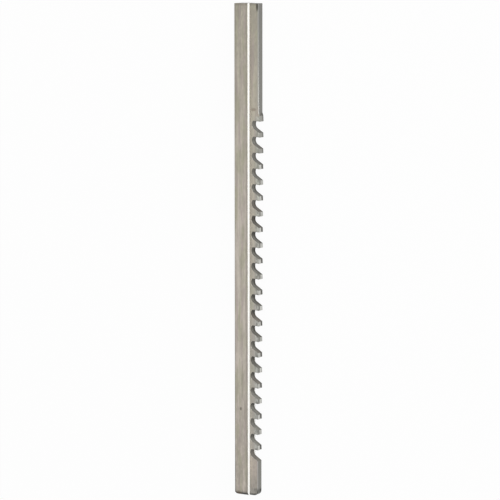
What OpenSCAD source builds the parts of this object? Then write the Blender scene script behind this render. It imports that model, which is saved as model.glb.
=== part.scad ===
// Keyway push broach, ground from one bar of tool steel.
// A narrow toothed blade stands on a wider guide body, with a shoulder on each side of it.
// The bar lies on one side face: X runs from the pilot end to the shank end, the teeth
// point to -Y and Z is up. All lengths are in millimetres.

/* [Guide body] */
// Overall length, from the pilot end to the shank end
overall_length = 298.45; // [250:0.05:340]
// Width of the guide body, which runs in the slot of a bushing
body_width = 9.525; // [7.5:0.025:12]
// Depth of the guide body, from its back to the shoulders
body_depth = 9.05; // [6:0.05:12]
// Break along the two back edges
back_edge_break = 0.15; // [0.1:0.05:1]

/* [Blade] */
// Width of the blade, which is the width of the keyway
blade_width = 4.7625; // [3.2:0.0125:6.4]
// Radius of the corner between each shoulder and the blade
shoulder_fillet = 0.4; // [0.1:0.05:0.8]
// Height of the plain pilot above the shoulders
pilot_height = 5.65; // [4:0.05:7]
// Height of the plain shank above the shoulders
shank_height = 6.4; // [4:0.05:8]
// Break along the front edges of the pilot and the shank
front_edge_break = 0.3; // [0.1:0.05:0.8]

/* [Teeth] */
// Number of teeth
tooth_count = 22; // [6:1:26]
// Distance from one cutting edge to the next
tooth_pitch = 9.525; // [8:0.025:11.5]
// Distance from the pilot end to the first cutting edge
first_edge = 28.05; // [16:0.05:40]
// Height of the first cutting edge above the shoulders
first_height = 5.65; // [4.5:0.05:7]
// Rise of each cutting edge over the one before it
tooth_rise = 0.064; // [0.01:0.001:0.1]
// Length of the land behind each cutting edge
land_length = 2.7; // [1.5:0.05:4]
// Angle by which a land falls away behind its cutting edge, in degrees
relief_angle = 2; // [0.5:0.5:4]
// Angle by which a cutting face leans over its gullet, in degrees
hook_angle = 7; // [0:0.5:15]

/* [Gullets] */
// Depth of a gullet below its cutting edge
gullet_depth = 5.25; // [3.6:0.05:6.5]
// Radius of the gullet floor
gullet_radius = 3.175; // [1.5:0.025:3.5]
// Slope of the tooth back that rises out of the gullet, in degrees
back_angle = 57; // [45:1:75]

/* [Chip breakers] */
// Number of finishing teeth at the shank end, which have no notch
finishing_teeth = 3; // [1:1:5]
// Width of the notch in each other tooth, at its cutting edge
notch_width = 1.3; // [0.5:0.05:1.6]
// Depth of a notch at the cutting edge
notch_depth = 0.6; // [0.2:0.05:1]
// Distance from the middle of the blade to a notch, on one side and on the other in turn
notch_offset = 0.95; // [0:0.05:1.2]
// Angle by which a notch falls away behind the cutting edge, in degrees
notch_relief = 4; // [1:0.5:8]

/* [Last tooth] */
// Length of the land behind the last cutting edge
last_land = 3.5; // [1.5:0.1:8]
// Length of the ramp from that land down to the shank
ramp_length = 1.8; // [0.5:0.1:8]

/* [Ends] */
// Radius of the pilot's front corner
nose_radius = 2.8; // [0.5:0.1:4]
// Radius of the pilot's back corner
heel_radius = 1.7; // [0.5:0.1:4]
// Length of the lead-in on each side of the body at the pilot end
lead_in_length = 1.5; // [0.5:0.1:8]
// Depth of that lead-in
lead_in_depth = 1.2; // [0.3:0.1:3]
// Break round the shank end
end_break = 0.15; // [0.1:0.05:1]

/* [Hidden] */
$fn = 96;

// How far a cut runs past the face that it opens
overcut = 1;
// How far the blade's outline reaches into the body that carries it
blade_embed = 1;
// How far each land's outline runs on into the gullets on both sides of it
land_runout = 0.2;
// How far a straight tooth back dips into its round floor, so that the two cross cleanly
back_dip = 0.02;

// Heights measured from the back of the body
pilot_top = body_depth + pilot_height;
shank_top = body_depth + shank_height;
blade_root = body_depth - blade_embed;
last_edge = first_edge + (tooth_count - 1) * tooth_pitch;
last_top = edge_top(tooth_count - 1);
ramp_start = last_edge + last_land;
ramp_end = ramp_start + ramp_length;
overall_depth = max(pilot_top, shank_top, last_top);
clear_of_teeth = overall_depth + overcut;

// Places across the width
mid_width = body_width / 2;
blade_side_low = mid_width - blade_width / 2;
blade_side_high = mid_width + blade_width / 2;

// Length and height of cutting edge number i, counted from the pilot
function edge_at(i) = first_edge + i * tooth_pitch;
function edge_top(i) = body_depth + first_height + i * tooth_rise;

// A point on the land of edge i, at a distance behind the edge
function land_point(i, behind) = [edge_at(i) + behind, edge_top(i) - behind * tan(relief_angle)];

// The corner where the gullet in front of edge i meets the land before it, or the pilot
function gullet_mouth(i) = i == 0
    ? [first_edge - tooth_pitch + land_length, pilot_top]
    : land_point(i - 1, land_length);

// A profile drawn along the bar and up from its back, given its thickness across the bar
module across_bar(low, thickness) {
    translate([0, 0, low])
        linear_extrude(thickness) children();
}

// A profile drawn up from the back and across the bar, run along the bar
module along_bar(start, end) {
    translate([start, 0, 0])
        rotate([90, 0, 90])
            linear_extrude(end - start) children();
}

// A profile drawn along the bar and across it, run up from one height over the back to another
module up_from_back(low, high) {
    translate([0, high, 0])
        rotate([90, 0, 0])
            linear_extrude(high - low) children();
}

// The waste outside a rounded corner whose sharp point is at the origin
module corner_waste(radius) {
    difference() {
        translate([-overcut, -overcut])
            square(radius + overcut);
        translate([radius, radius])
            circle(radius);
    }
}

// The waste outside a 45 degree break, centred on the edge that it takes off
module edge_waste(leg) {
    rotate(45)
        square(leg * sqrt(2), center = true);
}

// Side view of the guide body
module body_side() {
    difference() {
        square([overall_length, body_depth]);
        corner_waste(heel_radius);
        translate([overall_length, 0])
            edge_waste(end_break);
    }
}

// View of the guide body from its back, with the lead-in at the pilot end
module body_plan() {
    polygon([
        [0, lead_in_depth],
        [lead_in_length, 0],
        [overall_length - end_break, 0],
        [overall_length, end_break],
        [overall_length, body_width - end_break],
        [overall_length - end_break, body_width],
        [lead_in_length, body_width],
        [0, body_width - lead_in_depth],
    ]);
}

module guide_body() {
    difference() {
        intersection() {
            across_bar(0, body_width) body_side();
            up_from_back(-overcut, body_depth + overcut) body_plan();
        }
        along_bar(-overcut, overall_length + overcut)
            for (z = [0, body_width])
                translate([0, z]) edge_waste(back_edge_break);
    }
}

// Corner fillets where the blade rises from the shoulders
module shoulder_fillets() {
    intersection() {
        along_bar(0, overall_length - end_break)
            translate([body_depth, mid_width])
                for (side = [0, 1])
                    mirror([0, side])
                        translate([0, blade_width / 2])
                            difference() {
                                translate([-shoulder_fillet, -shoulder_fillet])
                                    square(2 * shoulder_fillet);
                                translate([shoulder_fillet, shoulder_fillet])
                                    circle(shoulder_fillet);
                            }
        up_from_back(0, body_depth + shoulder_fillet) body_plan();
    }
}

// Everything on the gullet's side of the cutting face of edge i
module before_cutting_face(i) {
    lean = tan(hook_angle);
    top = edge_top(i);
    over = clear_of_teeth - top;
    polygon([
        [edge_at(i) - over * lean, clear_of_teeth],
        [edge_at(i) - tooth_pitch, clear_of_teeth],
        [edge_at(i) - tooth_pitch, 0],
        [edge_at(i) + top * lean, 0],
    ]);
}

// The gullet in front of edge i: a round floor, touched by the straight back of the tooth before
module gullet(i) {
    mouth = gullet_mouth(i);
    floor_height = edge_top(i) - gullet_depth;
    centre_height = floor_height + gullet_radius;
    // Distance down the tooth back to the point where the floor takes over
    back_length = (mouth.y + gullet_radius * cos(back_angle) - centre_height) / sin(back_angle);
    back_foot = mouth + back_length * [cos(back_angle), -sin(back_angle)];
    into_gullet = [sin(back_angle), cos(back_angle)];
    centre = back_foot + gullet_radius * into_gullet;
    // Flat stretch of floor, in a gullet that is wider than its round floor
    face_at_centre = edge_at(i) + (edge_top(i) - centre_height) * tan(hook_angle);
    flat_floor = face_at_centre - gullet_radius - centre.x;
    mouth_rise = clear_of_teeth - mouth.y;
    // Well past the cutting face, which leans by less than 45 degrees
    past_face = edge_at(i) + gullet_depth;
    intersection() {
        before_cutting_face(i);
        union() {
            translate(centre) circle(gullet_radius);
            if (flat_floor > 0) {
                translate([centre.x, floor_height])
                    square([flat_floor, gullet_radius]);
                translate([centre.x + flat_floor, centre.y])
                    circle(gullet_radius);
            }
            polygon([
                [mouth.x - mouth_rise / tan(back_angle), clear_of_teeth],
                back_foot + back_dip * into_gullet,
                centre,
                [past_face, centre_height],
                [past_face, clear_of_teeth],
            ]);
        }
    }
}

// The V notch that splits the chip of tooth i, run through its cutting edge and its land
module chip_notch(i) {
    side = i % 2 == 0 ? -1 : 1;
    half_above = notch_width / 2 * (1 + overcut / notch_depth);
    translate([edge_at(i), edge_top(i), mid_width + side * notch_offset])
        rotate([0, 0, -notch_relief])
            along_bar(-overcut, land_length + 2 * overcut)
                polygon([[-notch_depth, 0], [overcut, half_above], [overcut, -half_above]]);
}

// Side view of the blade before its gullets are cut: pilot, rising lands, ramp and shank
module blade_blank() {
    polygon(concat(
        [[0, blade_root], [0, pilot_top], [gullet_mouth(0).x + land_runout, pilot_top]],
        [for (i = [0:tooth_count - 2], behind = [-land_runout, land_length + land_runout])
            land_point(i, behind)],
        [
            land_point(tooth_count - 1, -land_runout),
            land_point(tooth_count - 1, last_land),
            [ramp_end, shank_top],
            [overall_length - end_break, shank_top],
            [overall_length, shank_top - end_break],
            [overall_length, blade_root],
        ]
    ));
}

module blade_side() {
    difference() {
        blade_blank();
        translate([0, pilot_top])
            mirror([0, 1]) corner_waste(nose_radius);
        for (i = [0:tooth_count - 1])
            gullet(i);
    }
}

module blade() {
    edges = [blade_side_low, blade_side_high];
    difference() {
        across_bar(blade_side_low, blade_width) blade_side();
        for (z = edges) {
            along_bar(-overcut, gullet_mouth(0).x + overcut)
                translate([pilot_top, z]) edge_waste(front_edge_break);
            along_bar(ramp_end, overall_length + overcut)
                translate([shank_top, z]) edge_waste(front_edge_break);
            up_from_back(body_depth, shank_top + overcut)
                translate([overall_length, z]) edge_waste(end_break);
        }
        for (i = [0:tooth_count - finishing_teeth - 1])
            chip_notch(i);
    }
}

module broach() {
    color("silver")
        translate([-overall_length / 2, overall_depth / 2, 0])
            mirror([0, 1, 0]) {
                guide_body();
                blade();
                shoulder_fillets();
            }
}

broach();
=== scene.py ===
"""Keyway broach lying on a pale floor: its ground steel, soft studio light and the camera."""
import math

import bmesh
import bpy
from mathutils import Matrix, Vector


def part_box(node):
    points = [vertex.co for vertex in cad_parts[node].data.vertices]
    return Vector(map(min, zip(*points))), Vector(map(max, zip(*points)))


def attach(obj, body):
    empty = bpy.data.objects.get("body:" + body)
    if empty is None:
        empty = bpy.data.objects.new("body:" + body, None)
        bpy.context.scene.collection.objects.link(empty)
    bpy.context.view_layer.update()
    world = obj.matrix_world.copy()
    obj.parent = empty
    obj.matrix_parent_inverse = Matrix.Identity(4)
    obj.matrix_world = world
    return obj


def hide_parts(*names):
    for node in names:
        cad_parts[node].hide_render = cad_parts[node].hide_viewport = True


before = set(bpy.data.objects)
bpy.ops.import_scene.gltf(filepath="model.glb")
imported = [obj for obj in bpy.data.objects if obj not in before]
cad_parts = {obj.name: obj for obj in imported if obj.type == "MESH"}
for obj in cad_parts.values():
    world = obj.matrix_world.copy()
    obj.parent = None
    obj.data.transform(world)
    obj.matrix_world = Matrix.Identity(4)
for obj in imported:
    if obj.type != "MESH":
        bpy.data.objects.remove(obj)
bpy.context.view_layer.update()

# Sizes of the bar in millimetres, the same as those of the solid
MM = 0.001
BODY_DEPTH = 9.05
BLADE_WIDTH = 4.7625
BACK_EDGE_BREAK = 0.15
PILOT_HEIGHT = 5.65
SHANK_HEIGHT = 6.4
FRONT_EDGE_BREAK = 0.3
TOOTH_COUNT = 22
TOOTH_PITCH = 9.525
FIRST_EDGE = 28.05
FIRST_HEIGHT = 5.65
TOOTH_RISE = 0.064
LAND_LENGTH = 2.7
RELIEF = math.tan(math.radians(2))
HOOK = math.tan(math.radians(7))
GULLET_DEPTH = 5.25
GULLET_RADIUS = 3.175
BACK_ANGLE = math.radians(57)
FINISHING_TEETH = 3
NOTCH_WIDTH = 1.3
NOTCH_DEPTH = 0.6
NOTCH_OFFSET = 0.95
NOTCH_RELIEF = math.radians(4)
LAST_LAND = 3.5
RAMP_LENGTH = 1.8
NOSE_RADIUS = 2.8
HEEL_RADIUS = 1.7
LEAD_IN_LENGTH = 1.5
LEAD_IN_DEPTH = 1.2
SHANK_END_BREAK = 0.15

# Fine breaks that the solid goes without, and the least break of a back edge on the lead-in
SHOULDER_EDGE_BREAK = 0.12
PILOT_END_BREAK = 0.4
TOOTH_EDGE_BREAK = 0.03
LEAST_BACK_BREAK = 0.12

# Corner at the blade's foot, a little under the solid's, so that it ends below the first gullet
SHOULDER_FILLET = 0.35
# Most of a narrow shoulder's width that the corner and the edge break may take
FILLET_SHARE = 0.7
BREAK_SHARE = 0.2

# Segments in each round stretch, and those of the corner that are finished as the blade's side
GULLET_STEPS = 18
CORNER_STEPS = 10
FILLET_STEPS = 5
FILLET_SIDE_STEPS = 3

# Edges that turn by more than this stay sharp
SHARP_ANGLE = math.radians(25)
# Least cosine at which a corner of the outline is mitred in full
LEAST_MITRE = 0.4

# Shares of a mask's reach within which it is full: for bands and for spots
BAND_CORE = 0.2
SPOT_CORE = 0.3

# Overall sizes, taken from the solid's box
box_low, box_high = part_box("broach")
LENGTH = (box_high[0] - box_low[0]) / MM
DEPTH = (box_high[1] - box_low[1]) / MM
WIDTH = (box_high[2] - box_low[2]) / MM
BLADE_LOW = (WIDTH - BLADE_WIDTH) / 2
BLADE_HIGH = (WIDTH + BLADE_WIDTH) / 2
PILOT_TOP = BODY_DEPTH + PILOT_HEIGHT
SHANK_TOP = BODY_DEPTH + SHANK_HEIGHT


def placed(along, height, across):
    """A point given along the bar, up from its back and across it, in the frame's metres."""
    return Vector((along - LENGTH / 2, DEPTH / 2 - height, across)) * MM


def edge_at(tooth):
    return FIRST_EDGE + tooth * TOOTH_PITCH


def edge_top(tooth):
    return BODY_DEPTH + FIRST_HEIGHT + tooth * TOOTH_RISE


def land_point(tooth, behind):
    return Vector((edge_at(tooth) + behind, edge_top(tooth) - behind * RELIEF))


def gullet_mouth(tooth):
    """Where the gullet in front of a tooth begins, on the land before it or on the pilot."""
    if tooth == 0:
        return Vector((FIRST_EDGE - TOOTH_PITCH + LAND_LENGTH, PILOT_TOP))
    return land_point(tooth - 1, LAND_LENGTH)


def arc(centre, radius, start, end, steps):
    """Points on a circle from one angle to another, both ends included."""
    angles = [start + (end - start) * step / steps for step in range(steps + 1)]
    return [centre + radius * Vector((math.cos(a), math.sin(a))) for a in angles]


def gullet_floor(tooth):
    """The round floor of a gullet, from the foot of the tooth back to the cutting face."""
    mouth = gullet_mouth(tooth)
    edge = Vector((edge_at(tooth), edge_top(tooth)))
    centre_height = edge.y - GULLET_DEPTH + GULLET_RADIUS
    into_gullet = Vector((math.sin(BACK_ANGLE), math.cos(BACK_ANGLE)))
    down_back = Vector((math.cos(BACK_ANGLE), -math.sin(BACK_ANGLE)))
    back_length = (mouth.y + GULLET_RADIUS * into_gullet.y - centre_height) / into_gullet.x
    centre = mouth + back_length * down_back + GULLET_RADIUS * into_gullet
    # The cutting face leaves the floor where its line meets the circle for the second time
    down_face = Vector((HOOK, -1)).normalized()
    from_centre = edge - centre
    half = from_centre.dot(down_face)
    reach = -half + math.sqrt(half * half - from_centre.length_squared + GULLET_RADIUS ** 2)
    face_foot = from_centre + reach * down_face
    start = math.atan2(-into_gullet.y, -into_gullet.x)
    end = math.atan2(face_foot.y, face_foot.x)
    return arc(centre, GULLET_RADIUS, start, end, GULLET_STEPS)


def notch_is_low(tooth):
    """Whether a tooth's chip notch is on the low side of the blade's middle; they take turns."""
    return tooth % 2 == 0


def chip_notch(tooth):
    """Corners of the notch in a tooth, lip, bottom and lip, at its cutting edge and at its heel."""
    middle = WIDTH / 2 + (-NOTCH_OFFSET if notch_is_low(tooth) else NOTCH_OFFSET)
    edge = land_point(tooth, 0)
    heel = land_point(tooth, LAND_LENGTH)
    sink = LAND_LENGTH * (math.sin(NOTCH_RELIEF) - RELIEF * math.cos(NOTCH_RELIEF))
    down_face = NOTCH_DEPTH / (math.cos(NOTCH_RELIEF) - HOOK * math.sin(NOTCH_RELIEF))
    down_back = (NOTCH_DEPTH + sink) / math.sin(BACK_ANGLE - NOTCH_RELIEF)
    edge_bottom = edge + down_face * Vector((HOOK, -1))
    heel_bottom = heel + down_back * Vector((math.cos(BACK_ANGLE), -math.sin(BACK_ANGLE)))
    edge_half = NOTCH_WIDTH / 2
    heel_half = edge_half * (1 + sink / NOTCH_DEPTH)
    at_edge = [(*edge, middle - edge_half), (*edge_bottom, middle), (*edge, middle + edge_half)]
    at_heel = [(*heel, middle - heel_half), (*heel_bottom, middle), (*heel, middle + heel_half)]
    return at_edge, at_heel


class Outline:
    """The side view of the blade as points, each with the width of the break on its edge.

    The finish of a stretch is kept with the point that ends it.
    """

    def __init__(self):
        self.points = []
        self.breaks = []
        self.finishes = []
        self.splits = []
        self.edges = []

    def add(self, point, edge_break, finish):
        self.points.append(Vector(point))
        self.breaks.append(edge_break)
        self.finishes.append(finish)

    def split(self):
        """Marks the last point as one where the side face is divided."""
        self.splits.append(len(self.points) - 1)

    def edge(self):
        """Marks the last point as the next cutting edge."""
        self.edges.append(len(self.points) - 1)


def blade_outline():
    line = Outline()
    nose_centre = Vector((NOSE_RADIUS, PILOT_TOP - NOSE_RADIUS))
    nose = arc(nose_centre, NOSE_RADIUS, math.pi, math.pi / 2, CORNER_STEPS)
    for step, point in enumerate(nose):
        share = step / CORNER_STEPS
        line.add(point, PILOT_END_BREAK + share * (FRONT_EDGE_BREAK - PILOT_END_BREAK), "front")
    for tooth in range(TOOTH_COUNT):
        mouth = gullet_mouth(tooth)
        floor = gullet_floor(tooth)
        if tooth == 0:
            line.add(mouth, FRONT_EDGE_BREAK, "front")
            line.split()
            below = mouth + FRONT_EDGE_BREAK * (floor[0] - mouth).normalized()
            line.add(below, TOOTH_EDGE_BREAK, "gullet")
        else:
            line.add(mouth, TOOTH_EDGE_BREAK, "land")
            line.split()
        for point in floor:
            line.add(point, TOOTH_EDGE_BREAK, "gullet")
        line.add((edge_at(tooth), edge_top(tooth)), TOOTH_EDGE_BREAK, "gullet")
        line.edge()
    ramp_start = land_point(TOOTH_COUNT - 1, LAST_LAND)
    line.add(ramp_start, TOOTH_EDGE_BREAK, "land")
    line.add((ramp_start.x + RAMP_LENGTH, SHANK_TOP), FRONT_EDGE_BREAK, "gullet")
    line.split()
    line.add((LENGTH - SHANK_END_BREAK, SHANK_TOP), FRONT_EDGE_BREAK, "front")
    line.add((LENGTH, SHANK_TOP - SHANK_END_BREAK), SHANK_END_BREAK, "front")
    return line


def inset(points, widths, first_way, last_way):
    """Each point moved into the steel by its own width, square to the stretches beside it."""
    moved = []
    count = len(points)
    for i, point in enumerate(points):
        before = (point - points[i - 1]).normalized() if i else first_way
        after = (points[i + 1] - point).normalized() if i < count - 1 else last_way
        normal_before = Vector((before.y, -before.x))
        normal_after = Vector((after.y, -after.x))
        middle = (normal_before + normal_after).normalized()
        moved.append(point + widths[i] / max(middle.dot(normal_after), LEAST_MITRE) * middle)
    return moved


def section_at(along):
    """Half of the section below the blade, as points of height and distance from the middle.

    It starts at the foot of the blade and ends at the middle of the back. Each stretch has a finish.
    """
    lead_in = max(0, LEAD_IN_DEPTH * (1 - along / LEAD_IN_LENGTH))
    heel = max(0, HEEL_RADIUS - along)
    back = HEEL_RADIUS - math.sqrt(HEEL_RADIUS ** 2 - heel ** 2)
    end_in = max(0, PILOT_END_BREAK - along, along - (LENGTH - SHANK_END_BREAK))
    if along > LENGTH / 2:
        back += end_in
    side = WIDTH / 2 - lead_in - end_in
    blade = BLADE_WIDTH / 2 - end_in
    shoulder = side - blade
    fillet = min(SHOULDER_FILLET, FILLET_SHARE * shoulder)
    shoulder_break = min(SHOULDER_EDGE_BREAK, BREAK_SHARE * shoulder)
    back_break = max(LEAST_BACK_BREAK, BACK_EDGE_BREAK - lead_in)
    corner = Vector((BODY_DEPTH + fillet, blade + fillet))
    points = arc(corner, fillet, -math.pi / 2, -math.pi, FILLET_STEPS)
    finishes = ["side"] * FILLET_SIDE_STEPS + ["shoulder"] * (FILLET_STEPS - FILLET_SIDE_STEPS)
    for point, finish in (
        ((BODY_DEPTH, side - shoulder_break), "shoulder"),
        ((BODY_DEPTH - shoulder_break, side), "side"),
        ((back + back_break, side), "end" if along < LEAD_IN_LENGTH else "side"),
        ((back, side - back_break), "front"),
        ((back, 0), "end" if along < HEEL_RADIUS else "side"),
    ):
        points.append(Vector(point))
        finishes.append(finish)
    return points, finishes


def bar_stations(outline):
    """Places along the bar where the body's section is drawn, from the pilot end to the shank end."""
    heel_turns = [math.pi / 2 * step / CORNER_STEPS for step in range(1, CORNER_STEPS + 1)]
    near_pilot = [HEEL_RADIUS * (1 - math.cos(turn)) for turn in heel_turns]
    stations = [0, PILOT_END_BREAK, LEAD_IN_LENGTH, *near_pilot]
    stations += [outline.points[i].x for i in outline.splits]
    stations += [LENGTH - SHANK_END_BREAK, LENGTH]
    return sorted(stations)


FINISHES = ["side", "shoulder", "front", "land", "gullet", "notch", "edge", "end"]


class BarMesh:
    """Vertices and faces of the bar, with a finish for each face."""

    def __init__(self):
        self.vertices = []
        self.faces = []
        self.finish_of_face = []

    def vertex(self, along, height, across):
        self.vertices.append(placed(along, height, across))
        return len(self.vertices) - 1

    def face(self, corners, finish):
        self.faces.append(corners)
        self.finish_of_face.append(FINISHES.index(finish))

    def strip(self, row, next_row, finishes):
        """Quads between two rows of vertices, with a finish for each column."""
        for i, finish in enumerate(finishes):
            self.face([row[i], row[i + 1], next_row[i + 1], next_row[i]], finish)

    def object(self, name):
        """The closed mesh as an object, with all its faces turned outwards."""
        mesh = bpy.data.meshes.new(name)
        mesh.from_pydata(self.vertices, [], self.faces)
        mesh.polygons.foreach_set("material_index", self.finish_of_face)
        mesh.polygons.foreach_set("use_smooth", [True] * len(self.faces))
        form = bmesh.new()
        form.from_mesh(mesh)
        bmesh.ops.recalc_face_normals(form, faces=form.faces)
        form.to_mesh(mesh)
        form.free()
        mesh.set_sharp_from_angle(angle=SHARP_ANGLE)
        mesh.validate()
        made = bpy.data.objects.new(name, mesh)
        bpy.context.scene.collection.objects.link(made)
        return made


def lay_notches(bar, outline):
    """Corners of each chip notch at its edge and at its heel, by the number of the edge's row."""
    notches = {}
    for tooth in range(TOOTH_COUNT - FINISHING_TEETH):
        ends = [[bar.vertex(*corner) for corner in corners] for corners in chip_notch(tooth)]
        notches[outline.edges[tooth]] = ends
    return notches


def lay_front_face(bar, outline, rows, notches, i):
    """The stretch of the blade's front that ends in row i, with any notch that cuts it."""
    row, next_row, finish = rows[i - 1], rows[i], outline.finishes[i]
    if i in notches:
        # The cutting face, with the notch in its edge
        low, bottom, high = notches[i][0]
        bar.face([row[1], row[2], next_row[2], high, bottom, low, next_row[1]], finish)
    elif i - 1 in notches:
        # The land on both sides of the notch, and the notch's two flanks
        front, heel = notches[i - 1]
        is_low = notch_is_low(outline.edges.index(i - 1))
        bar.face([row[1], front[0], heel[0], next_row[1]], "notch" if is_low else finish)
        bar.face([front[2], row[2], next_row[2], heel[2]], finish if is_low else "notch")
        bar.strip(front, heel, ["notch", "notch"])
    elif i - 2 in notches:
        # The tooth back, with the notch in its upper edge
        low, bottom, high = notches[i - 2][1]
        bar.face([row[1], low, bottom, high, row[2], next_row[2], next_row[1]], finish)
    else:
        bar.face([row[1], row[2], next_row[2], next_row[1]], finish)


def lay_front(bar, outline):
    """The blade's front, from the pilot's nose over the teeth to the shank end, in rows of four."""
    up, down = Vector((0, 1)), Vector((0, -1))
    sides = inset(outline.points, outline.breaks, up, down)
    rows = []
    for point, side, width in zip(outline.points, sides, outline.breaks):
        rows.append([
            bar.vertex(side.x, side.y, BLADE_LOW),
            bar.vertex(point.x, point.y, BLADE_LOW + width),
            bar.vertex(point.x, point.y, BLADE_HIGH - width),
            bar.vertex(side.x, side.y, BLADE_HIGH),
        ])
    notches = lay_notches(bar, outline)
    for i in range(1, len(rows)):
        # Round the nose the break gets the end's painted shade, on the near side for half of the way
        far_edge = "end" if i <= CORNER_STEPS else "edge"
        near_edge = "end" if i <= CORNER_STEPS // 2 else "edge"
        bar.strip(rows[i - 1][:2], rows[i][:2], [far_edge])
        bar.strip(rows[i - 1][2:], rows[i][2:], [near_edge])
        lay_front_face(bar, outline, rows, notches, i)
    return rows


def lay_body(bar, stations):
    """The body in sections, each from the blade's low side round the back to its high side."""
    middle = WIDTH / 2
    sections = []
    for along in stations:
        points = section_at(along)[0]
        low = [bar.vertex(along, p.x, middle - p.y) for p in points]
        high = [bar.vertex(along, p.x, middle + p.y) for p in points[-2::-1]]
        sections.append(low + high)
    for i in range(1, len(stations)):
        finishes = section_at((stations[i - 1] + stations[i]) / 2)[1]
        bar.strip(sections[i - 1], sections[i], finishes + finishes[::-1])
    return sections


def lay_blade_sides(bar, outline, rows, stations, sections):
    """The blade's two sides, divided at the gullet mouths."""
    cuts = [0, *outline.splits, len(rows) - 1]
    divided = [stations.index(outline.points[i].x) for i in outline.splits]
    inside_pilot_end = stations.index(PILOT_END_BREAK)
    inside_shank_end = stations.index(LENGTH - SHANK_END_BREAK)
    places = [inside_pilot_end, *divided, inside_shank_end]
    for first, last, start, end in zip(cuts, cuts[1:], places, places[1:]):
        for side, foot in ((0, 0), (3, -1)):
            top = [rows[i][side] for i in range(first, last + 1)]
            bottom = [sections[i][foot] for i in range(end, start - 1, -1)]
            bar.face(top + bottom, "side")


def lay_ends(bar, rows, stations, sections):
    """Both ends of the bar: the break beside the blade, then the flat face."""
    # Sections on the break of each end, outermost first
    at_pilot = sections[:stations.index(PILOT_END_BREAK) + 1]
    at_shank = sections[:stations.index(LENGTH - SHANK_END_BREAK) - 1:-1]
    for row, at_end, finish in ((rows[0], at_pilot, "end"), (rows[-1], at_shank, "edge")):
        for side, full, foot in ((0, 1, 0), (3, 2, -1)):
            bar.face([row[side], row[full], *(section[foot] for section in at_end)], finish)
        bar.face([row[1], row[2], *at_end[0][::-1]], "end")


def make_broach():
    bar = BarMesh()
    outline = blade_outline()
    stations = bar_stations(outline)
    rows = lay_front(bar, outline)
    sections = lay_body(bar, stations)
    lay_blade_sides(bar, outline, rows, stations, sections)
    lay_ends(bar, rows, stations, sections)
    return bar.object("broach_bar")


class Wire:
    """A shader socket that can be used in Python expressions."""

    def __init__(self, tree, socket):
        self.tree = tree
        self.socket = socket

    def math(self, operation, a, b):
        return add_node(self.tree, "ShaderNodeMath", {"operation": operation}, {0: a, 1: b})

    def __add__(self, other):
        return self.math("ADD", self, other)

    def __radd__(self, other):
        return self.math("ADD", other, self)

    def __sub__(self, other):
        return self.math("SUBTRACT", self, other)

    def __rsub__(self, other):
        return self.math("SUBTRACT", other, self)

    def __mul__(self, other):
        return self.math("MULTIPLY", self, other)

    def __rmul__(self, other):
        return self.math("MULTIPLY", other, self)

    def __truediv__(self, other):
        return self.math("DIVIDE", self, other)

    def outputs(self):
        """All outputs of the node that this one comes from."""
        return [Wire(self.tree, socket) for socket in self.socket.node.outputs]


def add_node(tree, kind, settings, inputs, output=0):
    """Adds a node, sets it, fills its sockets with values or wires and returns one output."""
    node = tree.nodes.new(kind)
    for name, value in settings.items():
        setattr(node, name, value)
    for name, value in inputs.items():
        if isinstance(value, Wire):
            tree.links.new(value.socket, node.inputs[name])
        else:
            node.inputs[name].default_value = value
    return Wire(tree, node.outputs[output])


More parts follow.
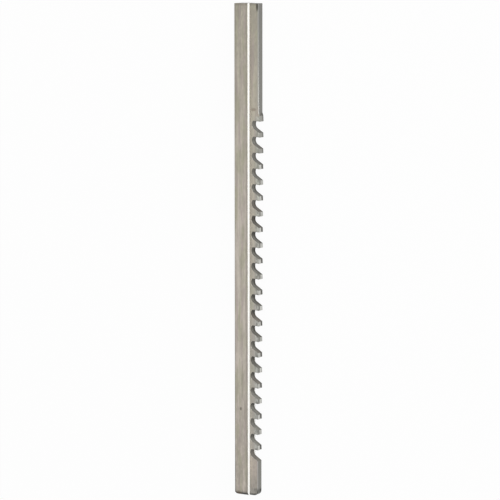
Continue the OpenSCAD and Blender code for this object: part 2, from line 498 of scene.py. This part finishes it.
class Finish:
    """A material whose nodes are added one by one, ending in one Principled shader.

    Its places along the bar, across the bar's depth and up are in the frame's millimetres.
    """

    def __init__(self, name):
        self.material = bpy.data.materials.new(name)
        self.material.use_nodes = True
        self.tree = self.material.node_tree
        self.shader = self.tree.nodes["Principled BSDF"]
        self.place = self.add("ShaderNodeTexCoord", {}, {}, "Object")
        scaled = self.vector_math("SCALE", {0: self.place, "Scale": 1 / MM})
        self.along, self.depth, self.up = self.add("ShaderNodeSeparateXYZ", {}, {0: scaled}).outputs()
        self.colour = None

    def add(self, kind, settings, inputs, output=0):
        return add_node(self.tree, kind, settings, inputs, output)

    def vector_math(self, operation, inputs, output=0):
        return self.add("ShaderNodeVectorMath", {"operation": operation}, inputs, output)

    def noise(self, along, height, across, detail):
        """Noise from 0 to 1 with grains of these sizes, in millimetres."""
        scale = tuple(1 / (size * MM) for size in (along, height, across))
        stretched = self.vector_math("MULTIPLY", {0: self.place, 1: scale})
        return self.add("ShaderNodeTexNoise", {}, {"Vector": stretched, "Scale": 1.0, "Detail": detail})

    def between(self, low, high, value):
        """Smoothly 0 to 1 as a value goes from low to high."""
        return self.add(
            "ShaderNodeMapRange",
            {"interpolation_type": "SMOOTHSTEP"},
            {"Value": value, "From Min": low, "From Max": high},
        )

    def near(self, value, centre, reach):
        """1 where a value is close to the centre, fading to 0 at this distance from it."""
        away = self.add("ShaderNodeMath", {"operation": "ABSOLUTE"}, {0: value - centre})
        return self.between(reach, BAND_CORE * reach, away)

    def spot(self, centre, size):
        """1 round a point, fading to 0 at an ellipse round it, in millimetres."""
        shifted = self.vector_math("SUBTRACT", {0: self.place, 1: tuple(c * MM for c in centre)})
        scaled = self.vector_math("DIVIDE", {0: shifted, 1: tuple(s * MM for s in size)})
        far = self.vector_math("LENGTH", {0: scaled}, "Value")
        return self.between(1, SPOT_CORE, far)

    def mix(self, factor, a, b):
        """A colour between two others, each of them a wire or red, green and blue."""
        ends = {6: (*a, 1) if isinstance(a, tuple) else a, 7: (*b, 1) if isinstance(b, tuple) else b}
        return self.add("ShaderNodeMix", {"data_type": "RGBA"}, {0: factor, **ends}, 2)

    def start(self, factor, a, b):
        """Begins the finish's colour as a mix of two."""
        self.colour = self.mix(factor, a, b)

    def tint(self, amount, colour):
        """Lays a colour over the one so far, by an amount from 0 to 1."""
        self.colour = self.mix(amount, self.colour, colour)

    def bump(self, height, depth):
        """A surface that rises by depth, in millimetres, where height is 1."""
        return self.add("ShaderNodeBump", {}, {"Height": height, "Distance": depth * MM})

    def surface(self, **sockets):
        """Fills the shader's own sockets, named with underscores for spaces, beside its colour."""
        for name, value in {"Base_Color": self.colour, **sockets}.items():
            socket = self.shader.inputs[name.replace("_", " ")]
            if isinstance(value, Wire):
                self.tree.links.new(value.socket, socket)
            else:
                socket.default_value = value
        return self.material


# Places on the bar, in the frame's millimetres
PILOT_PLACE = -LENGTH / 2
SHANK_PLACE = LENGTH / 2
BACK_PLACE = DEPTH / 2
SHOULDER_PLACE = BACK_PLACE - BODY_DEPTH
SHANK_FRONT_PLACE = BACK_PLACE - SHANK_TOP
FIRST_TIP_PLACE = SHOULDER_PLACE - FIRST_HEIGHT
FIRST_EDGE_PLACE = FIRST_EDGE - LENGTH / 2
LAST_EDGE_PLACE = edge_at(TOOTH_COUNT - 1) - LENGTH / 2
FINISHING_PLACE = edge_at(TOOTH_COUNT - FINISHING_TEETH) - LENGTH / 2

# Stains on the sides: centre and half sizes in the frame's millimetres, strength and colour
SIDE_STAINS = [
    ((86.0, -3.7, 7.15), (1.4, 2.8, 1), 0.55, (0.33, 0.26, 0.20)),
    ((-95.9, 3.8, 9.5), (1.5, 0.9, 1), 0.75, (0.16, 0.14, 0.11)),
    ((147.2, -6.3, 7.15), (4.0, 1.0, 1), 0.9, (0.09, 0.085, 0.07)),
    ((-147.7, 5.6, 9.0), (1.4, 2.0, 2), 0.35, (0.17, 0.12, 0.08)),
]

# The brown spot on the pilot end, in the same form
END_STAIN = ((-148.4, 5.2, 8.8), (2.2, 2.6, 3), 0.6, (0.17, 0.11, 0.075))

# Gullets that are darker or lighter than the rest: place along the bar, reach, strength and colour
GULLET_TONES = [
    (4, 30, 0.22, (0.06, 0.056, 0.042)),
    (-72, 30, 0.15, (0.06, 0.056, 0.042)),
    (-108, 30, 0.15, (0.33, 0.32, 0.29)),
]


def tooth_place(steel):
    """How far a point lies below the tips of the teeth, and behind a cutting face in pitches."""
    pitches = (steel.along - FIRST_EDGE_PLACE) / TOOTH_PITCH
    below = steel.depth - FIRST_TIP_PLACE + TOOTH_RISE * pitches
    from_face = pitches - below * (HOOK / TOOTH_PITCH)
    behind = steel.add("ShaderNodeMath", {"operation": "FRACT"}, {0: from_face})
    return below, behind


def tint_ground(steel, on_blade, scratches, specks):
    """Warm grey, pinkish towards the pilot and olive towards the shank, with bands and blotches."""
    along = steel.along
    steel.start(steel.between(-110, 120, along), (0.83, 0.735, 0.64), (0.79, 0.735, 0.605))
    body_middle = steel.near(along, centre=-40, reach=190) * (1 - 0.75 * on_blade)
    steel.tint(body_middle, (0.90, 0.82, 0.72))
    shank_blade = on_blade * steel.between(90, 140, along)
    steel.tint(0.3 * shank_blade, (0.45, 0.435, 0.34))
    pink_bands = steel.between(0.46, 0.66, steel.noise(along=34, height=1.9, across=1.9, detail=2))
    steel.tint(0.7 * pink_bands, (0.68, 0.575, 0.545))
    olive_bands = steel.between(0.46, 0.66, steel.noise(along=16, height=2.8, across=2.8, detail=2))
    steel.tint(0.7 * olive_bands, (0.665, 0.65, 0.48))
    bands = steel.noise(along=200, height=1.3, across=1.3, detail=2)
    clouds = steel.noise(along=14, height=4, across=4, detail=3)
    streaks = 0.35 * steel.between(0.38, 0.62, bands) + 0.2 * steel.between(0.3, 0.7, scratches)
    mottle = 0.3 * steel.between(0.38, 0.62, clouds) + 0.22 * steel.between(0.35, 0.65, specks)
    steel.tint(0.51 * (streaks + mottle), (0.37, 0.345, 0.295))
    near_ends = 1 - steel.near(along, centre=5, reach=150)
    blotches = steel.between(0.3, 0.7, steel.noise(along=2.6, height=0.9, across=0.9, detail=2))
    steel.tint(0.4 * near_ends * blotches, (0.42, 0.38, 0.33))


def paint_border_shade(steel):
    """Painted shade, a little darker beside the shoulders, the back edges and the shank end."""
    beside_shoulder = steel.near(steel.depth, centre=SHOULDER_PLACE, reach=1.9)
    steel.tint(0.32 * beside_shoulder, (0.22, 0.205, 0.18))
    beside_back = steel.near(steel.depth, centre=BACK_PLACE, reach=1.3)
    lighter_middle = 0.2 * steel.near(steel.along, centre=25, reach=130)
    darker_pilot = 0.3 * steel.between(-112, -135, steel.along)
    steel.tint((0.42 - lighter_middle + darker_pilot) * beside_back, (0.22, 0.20, 0.18))
    beside_shank_end = steel.near(steel.along, centre=SHANK_PLACE, reach=2.0)
    steel.tint(0.3 * beside_shank_end, (0.22, 0.19, 0.15))


def tint_teeth(steel, on_blade, grain):
    """Greyer towards the tips of the teeth, with a painted highlight half way up, painted shade at the
    foot of the blade and a dark line along each cutting edge.
    """
    along = steel.along
    below, behind = tooth_place(steel)
    from_first = steel.between(FIRST_EDGE_PLACE - 1, FIRST_EDGE_PLACE, along)
    to_last = steel.between(LAST_EDGE_PLACE + 4, LAST_EDGE_PLACE + 2, along)
    toothed = on_blade * from_first * to_last
    low_teeth = on_blade * from_first * steel.between(30, -60, along)
    steel.tint(0.45 * low_teeth, (0.53, 0.525, 0.485))
    upper_and_lowest = 1 - 0.7 * steel.near(along, centre=-50, reach=60)
    steel.tint(0.2 * toothed * upper_and_lowest, (0.40, 0.385, 0.335))
    # Painted highlight half way up the teeth
    highlight_band = toothed * steel.near(below, centre=3.4, reach=2.4)
    steel.tint(0.12 * highlight_band * steel.between(-110, -10, along), (0.80, 0.785, 0.66))
    # Painted shade at the blade's foot, beside the shoulder
    foot_shade = on_blade * steel.between(SHOULDER_PLACE - 3.2, SHOULDER_PLACE - 0.4, steel.depth)
    steel.tint(0.38 * foot_shade * steel.between(-200, 20, along), (0.27, 0.255, 0.215))
    near_tip = from_first * to_last * steel.between(3.6, 1.0, below)
    low_grey = steel.mix(grain, (0.34, 0.345, 0.32), (0.75, 0.76, 0.71))
    high_grey = steel.mix(grain, (0.46, 0.47, 0.425), (0.82, 0.835, 0.755))
    steel.tint(0.8 * near_tip, steel.mix(steel.between(-60, 75, along), low_grey, high_grey))
    edge_line = near_tip * steel.between(0.13, 0.03, behind)
    steel.tint(0.2 * edge_line, (0.14, 0.135, 0.12))


def paint_shank_front_highlight(steel):
    """A painted highlight along the front edge of the shank, brightest beside the ramp."""
    beside_front = steel.near(steel.depth, centre=SHANK_FRONT_PLACE, reach=1.5)
    shank_edge = beside_front * steel.between(84, 91, steel.along)
    steel.tint(0.6 * shank_edge, (0.66, 0.69, 0.63))
    beside_ramp = steel.near(steel.along, centre=96, reach=20)
    steel.tint(0.15 * shank_edge * beside_ramp, (0.86, 0.88, 0.82))


def tint_pilot_end_with_rim_shade(steel, on_blade, grain):
    """Mottled and darker towards the pilot end, with a rim of painted shade along the end's edge."""
    along = steel.along
    towards_end = steel.between(PILOT_PLACE + 20, PILOT_PLACE + 4, along)
    nearest_end = steel.between(PILOT_PLACE + 5.2, PILOT_PLACE + 3.6, along)
    mottled = steel.mix(grain, (0.24, 0.233, 0.214), (0.44, 0.425, 0.39))
    steel.tint(on_blade * (0.45 * towards_end + 0.35 * nearest_end), mottled)
    # Painted shade along the end's edge, on the blade and on the body
    blade_rim = on_blade * steel.between(PILOT_PLACE + 1.4, PILOT_PLACE + 0.7, along)
    steel.tint(0.8 * blade_rim, (0.09, 0.09, 0.08))
    body_rim = (1 - on_blade) * steel.between(PILOT_PLACE + 3.2, PILOT_PLACE + 1.2, along)
    steel.tint(0.5 * body_rim, (0.12, 0.115, 0.10))


def side_finish():
    """Ground sides and back: warm grey, with fine scratches, faint bands and a few stains, painted
    shade beside the edges and at the blade's foot, and painted highlights on the teeth and the shank's
    front edge.
    """
    steel = Finish("ground_sides")
    on_blade = steel.between(SHOULDER_PLACE + 0.2, SHOULDER_PLACE - 0.2, steel.depth)
    scratches = steel.noise(along=40, height=0.3, across=0.3, detail=3)
    specks = steel.noise(along=2.2, height=1.1, across=1.1, detail=2)
    grain = steel.between(0.38, 0.62, specks)
    tint_ground(steel, on_blade, scratches, specks)
    paint_border_shade(steel)
    tint_teeth(steel, on_blade, grain)
    paint_shank_front_highlight(steel)
    tint_pilot_end_with_rim_shade(steel, on_blade, grain)
    for centre, size, strength, stain in SIDE_STAINS:
        steel.tint(strength * steel.spot(centre, size), stain)
    return steel.surface(
        Metallic=1.0,
        Roughness=0.36 + 0.14 * scratches,
        Normal=steel.bump(scratches, depth=0.014),
    )


def shoulder_highlight_finish():
    """Shoulders painted near white and matt as a highlight, a little greyer towards the shank end."""
    steel = Finish("shoulders_painted_highlight")
    scratches = steel.noise(along=60, height=0.2, across=0.2, detail=2)
    # Painted highlight: the near white colour stands in for the bright reflection on the shoulders
    steel.start(scratches, (0.92, 0.915, 0.89), (0.99, 0.985, 0.96))
    steel.tint(steel.between(20, 150, steel.along), (0.90, 0.895, 0.875))
    return steel.surface(Metallic=0.1, Roughness=0.5 + 0.1 * scratches)


def front_shade_finish():
    """Fronts of the pilot and the shank, and the back edges: painted shade over the ground steel,
    darkest at the nose.
    """
    steel = Finish("fronts_painted_shade")
    scratches = steel.noise(along=30, height=0.2, across=0.2, detail=3)
    bands = steel.noise(along=90, height=1.0, across=1.0, detail=2)
    # Painted shade: darker than the sides, standing in for the dark reflection on these faces
    steel.start(0.5 * scratches + 0.5 * bands, (0.165, 0.162, 0.148), (0.285, 0.282, 0.258))
    # Painted shade round the nose, most on its far half
    shaded_nose = steel.between(PILOT_PLACE + 4.8, PILOT_PLACE + 3.2, steel.along)
    shaded_far_half = steel.between(5.6, 3.2, steel.up)
    steel.tint(shaded_nose * (0.4 + 0.5 * shaded_far_half), (0.03, 0.03, 0.027))
    return steel.surface(
        Metallic=1.0,
        Roughness=0.34 + 0.14 * scratches,
        Normal=steel.bump(scratches, depth=0.014),
    )


def land_light_and_shade_finish():
    """Lands behind the cutting edges, ground across the bar, with painted highlight patches and painted
    shade on the far edge, the last ones duller with painted shade on their far half.
    """
    steel = Finish("lands_painted_light_and_shade")
    scratches = steel.noise(along=0.14, height=3, across=3, detail=2)
    patches = steel.noise(along=6, height=1.6, across=1.6, detail=2)
    # Painted highlight: the pale patches stand in for bright reflections on the lands
    steel.start(steel.between(0.3, 0.7, patches), (0.40, 0.40, 0.37), (0.66, 0.655, 0.62))
    # Painted shade along the far edge
    far_edge = steel.between(BLADE_LOW + 0.75, BLADE_LOW + 0.2, steel.up)
    steel.tint(0.5 * far_edge, (0.22, 0.22, 0.20))
    # Painted shade on the far half of the last lands
    shaded_far_half = steel.between(4.6, 2.6, steel.up)
    dull = steel.mix(shaded_far_half, (0.34, 0.335, 0.305), (0.15, 0.148, 0.135))
    steel.tint(steel.between(FINISHING_PLACE - 1, FINISHING_PLACE, steel.along), dull)
    return steel.surface(
        Metallic=1.0,
        Roughness=0.26 + 0.16 * scratches,
        Normal=steel.bump(scratches, depth=0.008),
    )


def paint_gullet_root_shade(steel):
    """Painted shade: dark roots, nearly black in the far half of the middle teeth, and darker backs on
    the last.
    """
    below, behind = tooth_place(steel)
    at_root = steel.between(1.5, 4.8, below) * steel.between(0.55, 0.92, behind)
    dark_root = steel.between(0.4, 0.58, steel.noise(along=10, height=60, across=60, detail=0))
    last_teeth = steel.between(20, 25, steel.along)
    steel.tint((0.5 + 0.4 * dark_root) * (1 - 0.6 * last_teeth) * at_root, (0.03, 0.027, 0.018))
    far_root = steel.between(4.6, 3.2, steel.up) * steel.between(0.5, 0.8, behind)
    middle_teeth = steel.near(steel.along, centre=-12, reach=75)
    steel.tint(0.7 * far_root * middle_teeth, (0.014, 0.013, 0.009))
    on_back = steel.between(0.62, 0.45, behind) * steel.between(0, 60, steel.along)
    steel.tint(0.32 * on_back, (0.05, 0.05, 0.042))


def gullet_shade_finish():
    """Gullets, cutting faces and the ramp: painted dark as shade in these hollows and marked across the
    bar.
    """
    steel = Finish("gullets_painted_shade")
    marks = steel.noise(along=0.3, height=0.3, across=4, detail=2)
    clouds = steel.noise(along=2.5, height=2.5, across=2.5, detail=3)
    grain = steel.between(0.3, 0.7, 0.4 * marks + 0.6 * clouds)
    # Painted shade: the gullet steel is kept dark as the shade in these hollows
    steel.start(grain, (0.13, 0.127, 0.108), (0.31, 0.30, 0.265))
    # Painted shade on the far half
    shaded_far_half = steel.between(5.4, 2.6, steel.up)
    steel.tint(0.82 * shaded_far_half, (0.042, 0.039, 0.028))
    darker_teeth = steel.between(0.42, 0.62, steel.noise(along=14, height=60, across=60, detail=1))
    steel.tint(0.4 * darker_teeth, (0.07, 0.062, 0.048))
    brown_teeth = steel.between(0.5, 0.6, steel.noise(along=17, height=70, across=70, detail=1))
    steel.tint(0.3 * brown_teeth, (0.17, 0.12, 0.09))
    towards_ends = 1 - steel.near(steel.along, centre=-15, reach=85)
    steel.tint(0.2 * towards_ends, (0.33, 0.32, 0.29))
    for middle, reach, strength, tone in GULLET_TONES:
        steel.tint(strength * steel.near(steel.along, centre=middle, reach=reach), tone)
    paint_gullet_root_shade(steel)
    return steel.surface(
        Metallic=1.0,
        Roughness=0.38 + 0.18 * marks,
        Normal=steel.bump(marks, depth=0.018),
    )


def notch_shade_finish():
    """Chip notches and the strip of land outside them, painted dark as shade, darkest on the far side.
    """
    steel = Finish("notches_painted_shade")
    marks = steel.noise(along=4, height=0.15, across=0.15, detail=2)
    shaded_far_side = steel.mix(marks, (0.09, 0.088, 0.078), (0.20, 0.196, 0.18))
    shaded_near_side = steel.mix(marks, (0.18, 0.178, 0.16), (0.34, 0.336, 0.31))
    # Painted shade: the far side is darker than the near side
    steel.start(steel.between(WIDTH / 2 - 0.1, WIDTH / 2 + 0.1, steel.up), shaded_far_side, shaded_near_side)
    return steel.surface(Metallic=1.0, Roughness=0.4 + 0.15 * marks)


def edge_finish():
    """Broken edges, rubbed by handling: grey on the teeth, a painted highlight on the pilot, painted
    shade at the nose.
    """
    steel = Finish("rubbed_edges_painted_light")
    wear = steel.noise(along=12, height=1, across=1, detail=2)
    steel.start(wear, (0.30, 0.297, 0.285), (0.36, 0.354, 0.34))
    # Painted highlight along the pilot's edges
    pilot_edge_highlight = steel.between(-100, -125, steel.along)
    steel.tint(pilot_edge_highlight, (0.60, 0.59, 0.56))
    # Painted shade round the nose
    shaded_nose_edge = steel.between(PILOT_PLACE + 5, PILOT_PLACE + 2.5, steel.along)
    steel.tint(0.9 * shaded_nose_edge, (0.10, 0.10, 0.092))
    return steel.surface(Metallic=1.0, Roughness=0.32 + 0.1 * wear)


def end_shade_finish():
    """End faces, the lead-in and the heel, sawn and rough ground, in painted shade, with one brown
    spot.
    """
    steel = Finish("ends_painted_shade")
    marks = steel.noise(along=1.2, height=0.18, across=1.2, detail=2)
    clouds = steel.noise(along=3, height=3, across=3, detail=3)
    # Painted shade: the ends are kept much darker than the ground sides
    steel.start(0.6 * clouds + 0.4 * marks, (0.03, 0.03, 0.027), (0.12, 0.117, 0.105))
    centre, size, strength, stain = END_STAIN
    steel.tint(strength * steel.spot(centre, size), stain)
    return steel.surface(
        Metallic=1.0,
        Roughness=0.36 + 0.2 * marks,
        Normal=steel.bump(marks, depth=0.02),
    )


def dress(broach):
    makers = {
        "side": side_finish,
        "shoulder": shoulder_highlight_finish,
        "front": front_shade_finish,
        "land": land_light_and_shade_finish,
        "gullet": gullet_shade_finish,
        "notch": notch_shade_finish,
        "edge": edge_finish,
        "end": end_shade_finish,
    }
    for finish in FINISHES:
        broach.data.materials.append(makers[finish]())
    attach(broach, "root")
    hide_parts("broach")


# Studio: the floor's half length in metres, the colour of its card, its share of white, and the world
FLOOR_HALF = 4.0
FLOOR_CARD = (0.8, 0.8, 0.8, 1)
FLOOR_WHITE = 0.96
WORLD_GREY = (0.6, 0.6, 0.6, 1)


def make_floor():
    """A pale floor, shown near white behind the bar, which still takes its shadow."""
    mesh = bpy.data.meshes.new("floor")
    corners = [(x * FLOOR_HALF, y * FLOOR_HALF, 0) for x, y in ((-1, -1), (1, -1), (1, 1), (-1, 1))]
    mesh.from_pydata(corners, [], [(0, 1, 2, 3)])
    floor = bpy.data.objects.new("floor", mesh)
    bpy.context.scene.collection.objects.link(floor)
    material = bpy.data.materials.new("pale_floor")
    material.use_nodes = True
    tree = material.node_tree
    tree.nodes.remove(tree.nodes["Principled BSDF"])
    by_camera = add_node(tree, "ShaderNodeLightPath", {}, {}, "Is Camera Ray")
    rays = by_camera.socket.node.outputs
    by_metal = Wire(tree, rays["Is Glossy Ray"])
    by_glass = Wire(tree, rays["Is Transmission Ray"])
    seen = by_camera + by_metal + by_glass
    card = add_node(tree, "ShaderNodeBsdfDiffuse", {}, {"Color": FLOOR_CARD})
    white = add_node(tree, "ShaderNodeEmission", {}, {"Color": (1, 1, 1, 1), "Strength": 1.0})
    shown = add_node(tree, "ShaderNodeMixShader", {}, {0: seen * FLOOR_WHITE, 1: card, 2: white})
    tree.links.new(shown.socket, tree.nodes["Material Output"].inputs["Surface"])
    floor.data.materials.append(material)


def make_world():
    world = bpy.data.worlds.new("studio")
    world.use_nodes = True
    background = world.node_tree.nodes["Background"]
    background.inputs["Color"].default_value = WORLD_GREY
    background.inputs["Strength"].default_value = 1.0
    bpy.context.scene.world = world


def soft_box(name, direction, distance, size, radiance):
    """A square soft light that faces the bar, with the brightness that its face shows."""
    light = bpy.data.lights.new(name, "AREA")
    light.shape = "SQUARE"
    light.size = size
    light.energy = radiance * math.pi * size * size
    lamp = bpy.data.objects.new(name, light)
    away = Vector(direction).normalized()
    lamp.location = away * distance
    lamp.rotation_euler = away.to_track_quat("Z", "Y").to_euler()
    lamp.visible_camera = False
    bpy.context.scene.collection.objects.link(lamp)


# Camera: it looks down on the bar, turned towards the teeth and leaning towards the shank
VIEW_TURN = math.radians(29.91)
VIEW_LEAN = math.radians(7.33)
VIEW_ROLL = math.radians(-0.045)
# In metres
VIEW_DISTANCE = 1.5431
VIEW_TARGET = (0.0009, 0.00005, 0.00476)
VIEW_CLIP = (0.1, 50)
# In millimetres
VIEW_LENS = 184.2
VIEW_SENSOR = 36


def make_camera():
    back = Vector((
        math.sin(VIEW_LEAN),
        -math.cos(VIEW_LEAN) * math.sin(VIEW_TURN),
        math.cos(VIEW_LEAN) * math.cos(VIEW_TURN),
    ))
    up = (Vector((1, 0, 0)) - back.x * back).normalized()
    right = up.cross(back)
    data = bpy.data.cameras.new("camera")
    data.sensor_width = VIEW_SENSOR
    data.lens = VIEW_LENS
    data.clip_start, data.clip_end = VIEW_CLIP
    camera = bpy.data.objects.new("camera", data)
    axes = Matrix((right, up, back)).transposed()
    camera.matrix_world = (
        Matrix.Translation(Vector(VIEW_TARGET) + back * VIEW_DISTANCE)
        @ axes.to_4x4()
        @ Matrix.Rotation(VIEW_ROLL, 4, "Z")
    )
    bpy.context.scene.collection.objects.link(camera)
    bpy.context.scene.camera = camera


dress(make_broach())
make_floor()
make_world()
soft_box("teeth_side_light", direction=(0.62, -0.75, 0.22), distance=2.4, size=1.8, radiance=6.5)
make_camera()
bpy.context.scene.view_settings.view_transform = "Standard"
